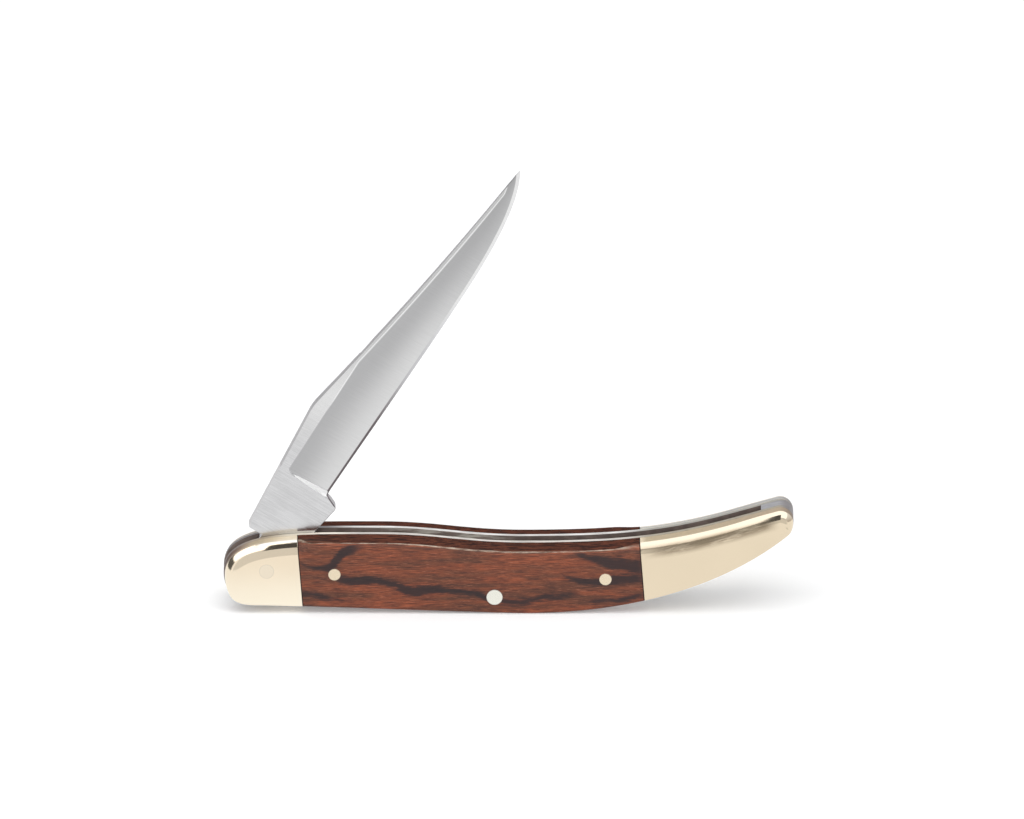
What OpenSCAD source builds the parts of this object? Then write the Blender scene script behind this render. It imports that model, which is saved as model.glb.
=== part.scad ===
// Toothpick pocket knife: a slip joint folder with one long clip blade.
// The knife stands on its back, slot up, with the blade half open.
// X runs from the front bolster to the tail, Y across the handle, Z up.

/* [Handle] */
// Length of the closed knife
handle_l = 76.2; // [72:0.1:84]
// Thickness over both scales
handle_t = 9.2; // [8:0.1:11]
// Height of the foremost point of the front bolster
nose_h = 4.9; // [4:0.1:6]
// Distance from the front end to where the bottom line levels out
heel_from_front = 4.3; // [4:0.1:5]
// Height of the top edge at its crest, behind the front bolster
crest_h = 10.3; // [9.6:0.1:11]
// Distance from the front end to that crest
crest_from_front = 20.7; // [16:0.1:23]
// Height of the top edge at its dip in the middle
saddle_h = 9.1; // [8.4:0.1:9.5]
// Distance from the tail end to that dip
saddle_from_tail = 36; // [28:0.1:38]
// Height of the top edge at the tail
tail_h = 14.15; // [12.8:0.05:15]
// Radius of the tail tip in side view
tail_r = 1.75; // [1.4:0.05:2]
// Distance from the tail end to the lowest point of the belly
belly_from_tail = 35.6; // [32:0.1:40]
// Slope of the belly line where it meets the tail tip, in degrees
belly_rise = 40; // [37:1:44]
// Slope of the top line where it meets the tail tip, in degrees
top_rise = 16; // [12:1:22]

// Slope of the upper faces from the liners out to the rounded shoulders, in degrees
crown = 7; // [0:0.5:10]

/* [Bolsters] */
// Length of the front bolsters at mid height
front_bolster_l = 10.2; // [9.4:0.1:13]
// Length of the rear bolsters at mid height
rear_bolster_l = 20.2; // [17:0.1:23]
// Lean of both joints between bolster and scale, in degrees
joint_lean = 4.5; // [0:0.5:8]
// Depth of the front bolsters' rounded shoulder in side view
front_shoulder_r = 1.9; // [0.8:0.1:2]
// Depth of the rear bolsters' rounded shoulder in side view
rear_shoulder_r = 1.3; // [0.8:0.1:1.4]
// Width of the near bolsters' shoulders, as a share of the bolsters' thickness
near_shoulder_share = 0.65; // [0.4:0.05:0.95]
// Width of the far bolsters' shoulders, as a share of the bolsters' thickness
far_shoulder_share = 0.95; // [0.4:0.05:0.95]
// Radius of the bolsters' lower edges
lower_edge_r = 0.4; // [0.2:0.1:0.8]
// Radius of the scales' edges
scale_edge_r = 0.5; // [0.3:0.1:0.9]
// Diameter of the studs that hold the bolsters to the liners
stud_d = 1.2; // [0.8:0.1:1.5]
// Height of the lower studs of the front bolsters
low_stud_h = 3.2; // [3:0.1:3.6]
// Distance of the upper studs of the front bolsters below the top edge
high_stud_inset = 1.5; // [1.3:0.1:1.8]
// Distance of those studs from the joint
front_studs_from_joint = 2.3; // [2:0.1:2.6]
// Distance of the first stud of the rear bolsters from the joint
first_stud_from_joint = 3.4; // [2.8:0.1:4]
// Height of the first stud of the rear bolsters above the lower edge
first_stud_h = 3.2; // [2.6:0.1:3.8]
// Distance from the tail end to the last stud of the rear bolsters
last_stud_from_tail = 6; // [5:0.1:7]
// Height of the last stud of the rear bolsters above the lower edge
last_stud_h = 2.6; // [2.2:0.1:3]

/* [Liners and slot] */
// Width of the slot, which is also the thickness of the backspring
slot_w = 1.8; // [1.6:0.05:2.4]
// Thickness of each liner
liner_t = 0.7; // [0.4:0.05:0.8]
// Distance from the tail end to the closed end of the slot
slot_end_from_tail = 4.35; // [4:0.05:5]
// Height of the slot's floor at its closed end above the lower edge
slot_floor_h = 2.3; // [1.9:0.1:2.6]

/* [Backspring] */
// Gap between the tang's corner and the spring's nose, blade half open
cam_gap = 0.04; // [0.03:0.01:0.1]
// Gap between the spring's nose and the tang's shoulder, knife open
nose_gap = 0.12; // [0.08:0.01:0.3]
// Length of the flat on the nose, behind the pivot
nose_run = 3; // [2:0.1:4]
// Height of the spring's top where the kick lands, spring relaxed
kick_rest_h = 3; // [2.8:0.05:3.2]
// Height of the spring's top over the spring pin
spring_mid_h = 4.7; // [4.4:0.05:5]
// Length of the spring's thick middle in front of the spring pin
spring_mid_front = 5; // [4:0.5:6]
// Length of the spring's thick middle behind the spring pin
spring_mid_back = 4; // [3:0.5:6]

/* [Blade] */
// Gap between the blade and the liner on each side
blade_side_play = 0.05; // [0.03:0.01:0.15]
// Gap between the blade's tip and the closed end of the slot
tip_gap = 1.3; // [0.6:0.1:3]
// Angle of the blade above the X axis as it stands, in degrees
blade_angle = 58.5; // [20:0.5:80]
// Distance from the pivot to each bearing flat of the square tang
tang_reach = 2.65; // [2.3:0.05:2.7]
// Radius of the tang's two bearing corners
tang_corner_r = 0.4; // [0.3:0.1:0.8]
// Distance from the pivot to the shoulder that meets the spring's nose
shoulder_u = 3; // [2.8:0.05:3.2]
// Distance of the tang's back from the blade's axis at the shoulder
back_v = 4.8; // [4.6:0.05:5.1]
// Distance from the pivot to the corner of the clip
clip_u = 22.1; // [19:0.1:26]
// Distance of that corner from the blade's axis
clip_v = 6.3; // [5.8:0.05:6.8]
// Distance from the pivot to the plunge of the grind
plunge_u = 12.3; // [11.8:0.1:14]
// Distance of the edge from the blade's axis at the plunge
heel_v = 2.03; // [1.8:0.01:2.4]
// Distance of the edge from the blade's axis at the belly
belly_v = 2.81; // [2.5:0.01:3.2]
// Distance from the tip back to where the edge starts to sweep up
sweep_l = 17.3; // [12:0.1:22]
// Distance from the pivot to the kick
kick_u = 11.3; // [11:0.1:11.5]
// Distance of the kick from the blade's axis
kick_v = 3.95; // [3.8:0.05:4.1]
// Length of the ramp from the tang's flat out to the kick
kick_ramp_l = 8; // [7:0.1:8.4]
// Length of the slanted corner at the end of the tang's back
back_corner = 0.3; // [0.2:0.1:0.6]
// Distance of the grind line from the blade's axis
grind_v = 4.45; // [3.8:0.05:5]
// Width of the flat left along the clip
clip_land = 0.3; // [0.2:0.05:0.6]
// Thickness of the edge before its last bevel
edge_t = 0.12; // [0.08:0.01:0.2]
// Thickness of the back at the tip
tip_t = 0.6; // [0.4:0.05:1]
// Power of the curve of the hollow grind
hollow = 1.4; // [1:0.05:1.8]

/* [Nail nick] */
// Length of the nail nick
nick_l = 10; // [7:0.1:12]
// Width of the nail nick
nick_w = 1.1; // [0.8:0.1:1.4]
// Depth of the nail nick
nick_depth = 0.35; // [0.2:0.05:0.45]
// Distance from the pivot to the middle of the nail nick
nick_u = 29; // [27:0.1:31]
// Distance of the nail nick from the blade's axis
nick_v = 3.5; // [3.2:0.1:3.8]

/* [Pins] */
// Diameter of the pivot pin
pivot_d = 2.05; // [1.6:0.05:2.4]
// Distance from the front end to the pivot
pivot_from_front = 5.76; // [5.5:0.02:6]
// Height of the pivot
pivot_h = 6.04; // [5.9:0.02:6.2]
// Diameter of the spring pin in the middle of the handle
spring_pin_d = 2.15; // [1.6:0.05:2.4]
// Distance from the front end to the spring pin
spring_pin_from_front = 36.23; // [34:0.05:38]
// Height of the spring pin
spring_pin_h = 2.38; // [2.1:0.02:2.6]
// Diameter of the tail pin, ground flush with the rear bolsters
tail_pin_d = 1.8; // [1.4:0.05:2]
// Distance from the tail end to the tail pin
tail_pin_from_tail = 13.1; // [12.6:0.1:13.6]
// Height of the tail pin above the lower edge
tail_pin_h = 1.25; // [1.15:0.05:1.6]
// Diameter of the pins that hold the scales
scale_pin_d = 1.65; // [1.2:0.05:2]
// Distance of the front scale pins from the front joint
front_pin_from_joint = 4.63; // [3.5:0.01:5.8]
// Height of the front scale pins
front_pin_h = 5.6; // [4.8:0.05:6.4]
// Distance of the rear scale pins from the rear joint
rear_pin_from_joint = 4.94; // [3.5:0.01:6.8]
// Height of the rear scale pins
rear_pin_h = 4.92; // [4:0.05:5.6]

/* [Fits] */
// Clearance on the diameter of a pin in a fixed hole
pin_fit = 0.02; // [0.01:0.01:0.06]
// Clearance on the diameter of the pivot pin in the blade
pivot_play = 0.08; // [0.04:0.01:0.18]

/* [Hidden] */
$fn = 48;

// Places along the handle
front_x = -handle_l / 2;
tail_x = handle_l / 2;
half_t = handle_t / 2;
half_slot = slot_w / 2;
liner_y = half_slot + liner_t;
bolster_t = half_t - liner_y;
pivot = [front_x + pivot_from_front, pivot_h];
spring_pin_at = [front_x + spring_pin_from_front, spring_pin_h];
slot_end_x = tail_x - slot_end_from_tail;
blade_t = slot_w - 2 * blade_side_play;

// The spring's front limb is held at the spring pin and pressed down by the tang's corner
nose_x = pivot[0] - shoulder_u + nose_gap;
function bend_share(x) =
    let (s = max(0, (spring_pin_at[0] - x) / (spring_pin_at[0] - nose_x))) s * s * (3 - s) / 2;
nose_drop = ((sqrt(2) - 1) * (tang_reach - tang_corner_r) + cam_gap) / bend_share(pivot[0]);
function flex(x) = nose_drop * bend_share(x);
function bent(points) = [for (p = points) [p[0], p[1] - flex(p[0])]];
front_joint_x = front_x + front_bolster_l;
rear_joint_x = tail_x - rear_bolster_l;
joint_mid_h = (crest_h + nose_drop) / 2;
front_pin_at = [front_joint_x + front_pin_from_joint, front_pin_h];
rear_pin_at = [rear_joint_x - rear_pin_from_joint, rear_pin_h];

// Reach of tools and cutting blocks beyond what they cut
over = 1;
reach = 2 * handle_l;

// A point of a cubic curve, and the curve as n steps without its first point
function bezier_point(a, b, c, d, t) =
    pow(1 - t, 3) * a + 3 * t * pow(1 - t, 2) * b + 3 * t * t * (1 - t) * c + pow(t, 3) * d;
function bezier(a, b, c, d, n) = [for (i = [1:n]) bezier_point(a, b, c, d, i / n)];
function arc(centre, r, from, to, n) =
    [for (i = [0:n]) let (a = from + (to - from) * i / n) centre + r * [cos(a), sin(a)]];
function smooth(t) = let (s = min(1, max(0, t))) s * s * (3 - 2 * s);
function between(a, b, t) = a + (b - a) * t;

// The handle's side outline, in the XZ plane, anticlockwise from its foremost point
nose_pt = [front_x, nose_h];
heel_pt = [front_x + heel_from_front, nose_drop];
belly_pt = [tail_x - belly_from_tail, 0];
saddle_pt = [tail_x - saddle_from_tail, saddle_h];
crest_pt = [front_x + crest_from_front, crest_h];
tip_centre = [tail_x - tail_r, tail_h - tail_r];
tip_low_pt = tip_centre + tail_r * [sin(belly_rise), -cos(belly_rise)];
tip_high_pt = tip_centre + tail_r * [-sin(top_rise), cos(top_rise)];

// How far each curve is pulled along its end directions
belly_pull = 0.385 * (tip_low_pt[0] - belly_pt[0]);
belly_flat = 0.8;
top_pull = 0.34 * (tip_high_pt[0] - saddle_pt[0]);
saddle_flat = 1.6;
under_pull = 0.15 * (belly_pt[0] - heel_pt[0]);
crest_pull = 0.41 * (saddle_pt[0] - crest_pt[0]);
chin_pull = 0.68;
heel_pull = 3;
brow_pull = 1.07;
brow_from_front = 9.5;

under_curve = concat(
    bezier(nose_pt, nose_pt - [0, chin_pull * (nose_h - nose_drop)],
        heel_pt - [heel_pull, 0], heel_pt, 8),
    bezier(heel_pt, heel_pt + [under_pull, 0], belly_pt - [under_pull, 0], belly_pt, 12),
    bezier(belly_pt, belly_pt + [belly_flat * belly_pull, 0],
        tip_low_pt - belly_pull * [cos(belly_rise), sin(belly_rise)], tip_low_pt, 14)
);
tip_curve = arc(tip_centre, tail_r, belly_rise - 90, 90 + top_rise, 10);
top_curve = concat(
    bezier(tip_high_pt, tip_high_pt - top_pull * [cos(top_rise), sin(top_rise)],
        saddle_pt + [saddle_flat * top_pull, 0], saddle_pt, 12),
    bezier(saddle_pt, saddle_pt - [crest_pull, 0], crest_pt + [crest_pull, 0], crest_pt, 8),
    bezier(crest_pt, [front_x + brow_from_front, crest_h],
        nose_pt + [0, brow_pull * (crest_h - nose_h)], nose_pt, 18)
);
outline = concat(under_curve, [for (i = [1:len(tip_curve) - 1]) tip_curve[i]], top_curve);

// Heights of the outline's lower and upper lines at x
function under_h(x) = lookup(x, under_curve);
function top_h(x) = lookup(x, [for (i = [len(top_curve) - 1:-1:0]) top_curve[i]]);

// Places of the tail pin and of the bolsters' studs
function above_edge(x, h) = [x, under_h(x) + h];
tail_pin_at = above_edge(tail_x - tail_pin_from_tail, tail_pin_h);
front_studs_x = front_joint_x - front_studs_from_joint;
front_studs = [
    [front_studs_x, low_stud_h],
    [front_studs_x, top_h(front_studs_x) - high_stud_inset]
];
rear_studs = [
    above_edge(rear_joint_x + first_stud_from_joint, first_stud_h),
    above_edge(tail_x - last_stud_from_tail, last_stud_h)
];

// Depth and width of the handle's long upper edges: full on the bolsters, small along the scales
front_blend_l = 1.5;
rear_blend_l = 4;
function edge_at_x(x, front, rear) = max(
    between(front, scale_edge_r, smooth((x - front_joint_x) / front_blend_l)),
    between(scale_edge_r, rear, smooth((x - rear_joint_x) / rear_blend_l + 1))
);

// The slope of the upper faces fades out before the tail tip
fade_from_tail = [10, 4];
function slope_at(x) =
    crown * smooth((tail_x - x - fade_from_tail[1]) / (fade_from_tail[0] - fade_from_tail[1]));

// The blade lies along U from the pivot, with its back towards V and its thickness across
blade_l = slot_end_x - tip_gap - pivot[0];
sweep_u = blade_l - sweep_l;
back_slope = (clip_v - back_v) / (clip_u - shoulder_u);
tip_half = 0.06;

// How far the clip and the edge are pulled along their curves, as shares of their length
clip_pull_1 = [0.37, 0.47];
clip_pull_2 = [0.65, 0.75];
heel_share = 0.33;
belly_share = 0.73;
edge_sag = 0.26;
sweep_share = 0.46;
point_share = 0.17;
point_fall = 0.7;
back_curve = concat(
    [[shoulder_u, back_v], [clip_u, clip_v]],
    bezier([clip_u, clip_v],
        [between(clip_u, blade_l, clip_pull_1[0]), between(clip_v, 0, clip_pull_1[1])],
        [between(clip_u, blade_l, clip_pull_2[0]), between(clip_v, 0, clip_pull_2[1])],
        [blade_l, tip_half], 20)
);
edge_curve = concat(
    [[plunge_u, -heel_v]],
    bezier([plunge_u, -heel_v],
        [between(plunge_u, sweep_u, heel_share), -heel_v - edge_sag],
        [between(plunge_u, sweep_u, belly_share), -belly_v], [sweep_u, -belly_v], 8),
    bezier([sweep_u, -belly_v], [sweep_u + sweep_share * sweep_l, -belly_v],
        [blade_l - point_share * sweep_l, -point_fall * belly_v], [blade_l, -tip_half], 12)
);
function back_at(u) = lookup(u, back_curve);
function edge_at(u) = lookup(u, edge_curve);
most_land = 0.3;
function grind_line_at(u) = let (back = back_at(u))
    min(grind_v, back - min(clip_land, most_land * (back - edge_at(u))));

// Half the thickness of the blade along its back, and where it is hollow ground
function back_half_at(u) =
    between(blade_t, tip_t, max(0, (u - clip_u) / (blade_l - clip_u))) / 2;
function ground_half_at(u, v) = let (
    edge = edge_at(u),
    w = max(0, (v - edge) / (grind_line_at(u) - edge))
) between(edge_t / 2, back_half_at(u), pow(w, hollow));

// A closed solid over matching loops of points. Each loop runs out along one side and back
// along the other, so strips between the two sides close the ends.
module skin(loops) {
    n = len(loops[0]);
    last = (len(loops) - 1) * n;
    polyhedron(
        points = [for (loop = loops) for (p = loop) p],
        faces = concat(
            [for (i = [0:n / 2 - 2]) [i + 1, i, n - 1 - i, n - 2 - i]],
            [for (k = [0:n:last - n]) for (i = [0:n - 1]) let (j = (i + 1) % n)
                [k + i, k + j, k + n + j, k + n + i]],
            [for (i = [0:n / 2 - 2]) [last + i, last + i + 1, last + n - 2 - i, last + n - 1 - i]]
        ),
        convexity = 6
    );
}

// Side view drawings stand in the XZ plane, from y0 to y1
module upright(y0, y1) {
    translate([0, y1, 0]) rotate([90, 0, 0]) linear_extrude(y1 - y0) children();
}
module cross_bar(at, d, y0, y1) {
    translate([at[0], y1, at[1]]) rotate([90, 0, 0]) cylinder(h = y1 - y0, d = d);
}
module near_side() {
    mirror([0, 1, 0]) children();
}

// The far half of the handle outside its liner. Its upper edges are rounded, over a share of
// the bolsters' thickness, and its lower edges are nearly sharp.
round_steps = 4;
module rounded_half(share) {
    n = len(outline);
    inward = [for (i = [0:n - 1]) let (t = outline[(i + 1) % n] - outline[(i + n - 1) % n])
        [-t[1], t[0]] / norm(t)];
    skin(concat(
        [[for (p = outline) [p[0], liner_y, p[1]]]],
        [for (k = [0:round_steps]) [for (i = [0:n - 1]) let (
            p = outline[i],
            upper = 1 - smooth(inward[i][1]),
            full_r = edge_at_x(p[0], front_shoulder_r, rear_shoulder_r),
            full_w = edge_at_x(p[0], share * bolster_t, share * bolster_t),
            r = between(min(full_r, lower_edge_r), full_r, upper),
            w = between(min(full_w, lower_edge_r), full_w, upper),
            slope = tan(slope_at(p[0]) * upper),
            start = atan(w / r * slope),
            a = between(start, 90, k / round_steps),
            fall = (bolster_t - w + w * sin(start)) * slope,
            q = p + (fall + r * (cos(start) - cos(a))) * inward[i]
        ) [q[0], half_t - w * (1 - sin(a)), q[1]]]]
    ));
}

// The part of the side view behind a leaning joint at x
module behind_joint(x) {
    translate([x, joint_mid_h]) rotate(joint_lean) translate([0, -reach / 2]) square(reach);
}

// Pins that pass through everything, cut as holes
module fixed_holes(places, d) {
    for (p = places) cross_bar(p, d + pin_fit, -half_t - over, half_t + over);
}

// Long clip blade with a square tang, a kick, a hollow grind and a nail nick
module tang_outline() {
    back_end = [plunge_u, back_at(plunge_u)];
    ramp_u = kick_u - kick_ramp_l;
    kick_round = 0.15;
    corner_fall = 0.8;
    bearing = tang_reach - tang_corner_r;
    difference() {
        polygon(concat([
            back_end,
            [shoulder_u + back_corner, back_v + back_corner * back_slope],
            [shoulder_u, back_v - corner_fall * back_corner],
            [shoulder_u, tang_reach]
        ], arc([-bearing, bearing], tang_corner_r, 90, 180, 8),
        arc([-bearing, -bearing], tang_corner_r, 180, 270, 8), [
            [ramp_u, -tang_reach],
            [kick_u - kick_round, -kick_v],
            [kick_u + kick_round, -kick_v + kick_round],
            [plunge_u, -heel_v]
        ]));
        circle(d = pivot_d + pivot_play);
    }
}
module ground_body() {
    stations = 30;
    hollow_steps = 5;
    tip_crowding = 1.3;
    skin([for (i = [0:stations]) let (
        u = between(plunge_u, blade_l, 1 - pow(1 - i / stations, tip_crowding)),
        line = grind_line_at(u),
        edge = edge_at(u),
        side = concat(
            [[back_at(u), back_half_at(u)]],
            [for (k = [0:hollow_steps]) let (v = between(line, edge, k / hollow_steps))
                [v, ground_half_at(u, v)]]
        )
    ) concat(
        [for (p = side) [u, p[0], -p[1]]],
        [for (k = [len(side) - 1:-1:0]) [u, side[k][0], side[k][1]]]
    )]);
}
module nick_wheel() {
    wheel_r = (nick_l * nick_l / 4 + nick_depth * nick_depth) / (2 * nick_depth);
    translate([nick_u, nick_v, nick_depth - ground_half_at(nick_u, nick_v) - wheel_r])
        rotate([-90, 0, 0]) cylinder(h = nick_w, r = wheel_r, $fn = 360);
}
module blade() {
    color([0.82, 0.82, 0.83])
    translate([pivot[0], 0, pivot[1]]) rotate([0, -blade_angle, 0]) rotate([90, 0, 0])
    difference() {
        union() {
            translate([0, 0, -blade_t / 2]) linear_extrude(blade_t) tang_outline();
            ground_body();
        }
        nick_wheel();
    }
}

// Backspring: nose under the tang, thick middle on the spring pin, and the filled tail
module backspring() {
    nose_top = pivot_h - tang_reach;
    run_end = [pivot[0] + nose_run, nose_top];
    kick_x = pivot[0] + kick_u;
    kick_start = [kick_x - 3, kick_rest_h];
    kick_end = [kick_x + 1, kick_rest_h];
    kick_pull = 7;
    mid_start = [spring_pin_at[0] - spring_mid_front, spring_mid_h];
    mid_end = [spring_pin_at[0] + spring_mid_back, spring_mid_h];
    mid_pull = 16;
    floor_end = above_edge(slot_end_x, slot_floor_h);
    floor_pull = [4.5, 3.5];
    nose_pull = 1;
    same_pt = 0.2;
    back = concat(
        [[nose_x, under_h(nose_x)]],
        [for (p = under_curve) if (p[0] > nose_x + same_pt) p]
    );
    tail = concat(
        [for (i = [1:len(tip_curve) - 1]) tip_curve[i]],
        [for (p = top_curve) if (p[0] > slot_end_x + same_pt) p],
        [[slot_end_x, top_h(slot_end_x)]]
    );
    slot_floor = concat(
        [floor_end],
        bezier(floor_end, floor_end - floor_pull, mid_end + [mid_pull, 0], mid_end, 12),
        [mid_start],
        bezier(mid_start, mid_start - [spring_mid_front, 0], kick_end + [kick_pull, 0],
            kick_end, 8),
        bezier(kick_end, kick_start, run_end + [nose_run - same_pt, 0], run_end, 6),
        bezier(run_end, run_end - [nose_pull, 0], [nose_x + nose_pull, nose_top],
            [nose_x, nose_top], 5)
    );
    color([0.68, 0.68, 0.70])
    difference() {
        upright(-half_slot, half_slot) polygon(bent(concat(back, tail, slot_floor)));
        fixed_holes([spring_pin_at], spring_pin_d);
        fixed_holes([tail_pin_at], tail_pin_d);
    }
}

// Liners: thin plates with the whole outline of the handle
module liner_solid() {
    difference() {
        upright(half_slot, liner_y) polygon(outline);
        fixed_holes([pivot], pivot_d);
        fixed_holes([spring_pin_at], spring_pin_d);
        fixed_holes([tail_pin_at], tail_pin_d);
        fixed_holes([front_pin_at, rear_pin_at], scale_pin_d);
        fixed_holes(concat(front_studs, rear_studs), stud_d);
    }
}
module far_liner() {
    color([0.80, 0.80, 0.81]) liner_solid();
}
module near_liner() {
    color([0.80, 0.80, 0.81]) near_side() liner_solid();
}

// Wood scales between the bolsters
module scale_solid(share) {
    difference() {
        intersection() {
            rounded_half(share);
            upright(0, half_t + over) difference() {
                behind_joint(front_joint_x);
                behind_joint(rear_joint_x);
            }
        }
        fixed_holes([spring_pin_at], spring_pin_d);
        fixed_holes([front_pin_at, rear_pin_at], scale_pin_d);
    }
}
module far_scale() {
    color([0.45, 0.24, 0.17]) scale_solid(far_shoulder_share);
}
module near_scale() {
    color([0.45, 0.24, 0.17]) near_side() scale_solid(near_shoulder_share);
}

// Bolsters, each held by two studs set into the liner
module studs(places) {
    for (p = places) cross_bar(p, stud_d, half_slot, liner_y + over);
}
module front_bolster_solid(share) {
    difference() {
        union() {
            difference() {
                rounded_half(share);
                upright(0, half_t + over) behind_joint(front_joint_x);
            }
            studs(front_studs);
        }
        fixed_holes([pivot], pivot_d);
    }
}
module far_front_bolster() {
    color([0.90, 0.83, 0.70]) front_bolster_solid(far_shoulder_share);
}
module near_front_bolster() {
    color([0.90, 0.83, 0.70]) near_side() front_bolster_solid(near_shoulder_share);
}
module rear_bolster_solid(share) {
    difference() {
        union() {
            intersection() {
                rounded_half(share);
                upright(0, half_t + over) behind_joint(rear_joint_x);
            }
            studs(rear_studs);
        }
        fixed_holes([tail_pin_at], tail_pin_d);
    }
}
module far_rear_bolster() {
    color([0.90, 0.83, 0.70]) rear_bolster_solid(far_shoulder_share);
}
module near_rear_bolster() {
    color([0.90, 0.83, 0.70]) near_side() rear_bolster_solid(near_shoulder_share);
}

// Pins, ground flush with the flanks
module pivot_pin() {
    color([0.90, 0.84, 0.73]) cross_bar(pivot, pivot_d, -half_t, half_t);
}
module spring_pin() {
    color([0.88, 0.88, 0.85]) cross_bar(spring_pin_at, spring_pin_d, -half_t, half_t);
}
module tail_pin() {
    color([0.90, 0.84, 0.73]) cross_bar(tail_pin_at, tail_pin_d, -half_t, half_t);
}
module scale_pin(at) {
    color([0.85, 0.76, 0.58]) cross_bar(at, scale_pin_d, half_slot, half_t);
}
module near_front_scale_pin() {
    near_side() scale_pin(front_pin_at);
}
module far_front_scale_pin() {
    scale_pin(front_pin_at);
}
module near_rear_scale_pin() {
    near_side() scale_pin(rear_pin_at);
}
module far_rear_scale_pin() {
    scale_pin(rear_pin_at);
}

blade();
backspring();
near_liner();
far_liner();
near_scale();
far_scale();
near_front_bolster();
far_front_bolster();
near_rear_bolster();
far_rear_bolster();
pivot_pin();
spring_pin();
tail_pin();
near_front_scale_pin();
far_front_scale_pin();
near_rear_scale_pin();
far_rear_scale_pin();
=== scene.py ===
import math

import bmesh
import bpy
import numpy as np
from mathutils import Matrix, Vector


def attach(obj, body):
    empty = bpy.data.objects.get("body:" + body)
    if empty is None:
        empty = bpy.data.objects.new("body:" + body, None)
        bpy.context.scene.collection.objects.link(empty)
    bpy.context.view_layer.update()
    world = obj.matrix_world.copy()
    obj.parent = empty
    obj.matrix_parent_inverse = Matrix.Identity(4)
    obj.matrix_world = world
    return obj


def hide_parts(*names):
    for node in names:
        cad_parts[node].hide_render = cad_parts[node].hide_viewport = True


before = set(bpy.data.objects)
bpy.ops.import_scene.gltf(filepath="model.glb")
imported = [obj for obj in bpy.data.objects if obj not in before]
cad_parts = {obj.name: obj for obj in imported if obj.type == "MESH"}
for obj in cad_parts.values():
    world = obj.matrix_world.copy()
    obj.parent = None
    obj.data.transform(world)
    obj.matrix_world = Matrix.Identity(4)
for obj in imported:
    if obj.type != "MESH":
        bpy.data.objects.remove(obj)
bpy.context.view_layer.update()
MM = 0.001

# Sizes of the knife in millimetres, the same as in the part's source
FRONT_X, TAIL_X = -38.1, 38.1
HALF_T, HALF_SLOT, LINER_T = 4.6, 0.9, 0.7
LINER_Y = HALF_SLOT + LINER_T
BOLSTER_T = HALF_T - LINER_Y
CREST_H, TAIL_H, TAIL_R, NOSE_H, SADDLE_H = 10.3, 14.15, 1.75, 4.9, 9.1
HEEL_X, CREST_X = FRONT_X + 4.3, FRONT_X + 20.7
BELLY_X, SADDLE_X = TAIL_X - 35.6, TAIL_X - 36
UNDER_RISE, TOP_RISE = math.radians(40), math.radians(16)
CROWN, CROWN_END, CROWN_FADE = math.radians(7), 4, 6
NEAR_SHARE, FAR_SHARE, LOWER_R = 0.65, 0.95, 0.4
FRONT_R, REAR_R, SCALE_R = 1.9, 1.3, 0.5
FRONT_BLEND, REAR_BLEND = 1.5, 4
FRONT_JOINT_X, REAR_JOINT_X, JOINT_LEAN = -27.9, 17.9, math.radians(4.5)
PIVOT = (-32.34, 6.04)
SPRING_PIN = (-1.87, 2.38)
TAIL_PIN = (25.0, 5.123)
FRONT_PIN, REAR_PIN = (-23.27, 5.6), (12.96, 4.92)
SCALE_PIN_D, SPRING_PIN_D, PIVOT_D, TAIL_PIN_D, BORE_R = 1.65, 2.15, 2.05, 1.8, 1.065
SLOT_END_X, SLOT_FLOOR_H, LIMB_H, REST_H = 33.75, 10.68, 4.7, 3.0
BLADE_ANGLE, BLADE_HALF = math.radians(58.5), 0.85
TANG_REACH, TANG_CORNER_R, SHOULDER_U, BACK_V = 2.65, 0.4, 3.0, 4.8
CLIP_U, CLIP_V = 22.1, 6.3
PLUNGE_U, HEEL_V, BELLY_V, SWEEP_L = 12.3, 2.03, 2.81, 17.3
KICK_U, KICK_V, KICK_ROUND, GRIND_V, CLIP_LAND = 11.3, 3.95, 0.15, 4.45, 0.3
EDGE_HALF, TIP_HALF, HOLLOW = 0.06, 0.3, 1.4
TIP_GAP, SHOULDER_GAP, PRESS_GAP = 1.3, 0.12, 0.04
BLADE_L = SLOT_END_X - TIP_GAP - PIVOT[0]
NOSE_X = PIVOT[0] - SHOULDER_U + SHOULDER_GAP
NICK_U, NICK_V, NICK_W, NICK_DEEP, NICK_HALF_L = 29, 4.05, 1.1, 0.35, 5


def bend_share(x):
    s = max(0.0, (SPRING_PIN[0] - x) / (SPRING_PIN[0] - NOSE_X))
    return s * s * (3 - s) / 2


NOSE_DROP = ((math.sqrt(2) - 1) * (TANG_REACH - TANG_CORNER_R) + PRESS_GAP) / bend_share(PIVOT[0])
JOINT_H = (CREST_H + NOSE_DROP) / 2


def clamped(t):
    return min(1.0, max(0.0, t))


def smooth(t):
    s = clamped(t)
    return s * s * (3 - 2 * s)


def between(a, b, t):
    return a + (b - a) * t


def at(points, x):
    return float(np.interp(x, [p[0] for p in points], [p[1] for p in points]))


def bezier(a, b, c, d, n):
    a, b, c, d = (np.array(p, float) for p in (a, b, c, d))
    return [tuple((1 - t) ** 3 * a + 3 * t * (1 - t) ** 2 * b
                  + 3 * t * t * (1 - t) * c + t ** 3 * d)
            for t in (i / n for i in range(1, n + 1))]


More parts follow.
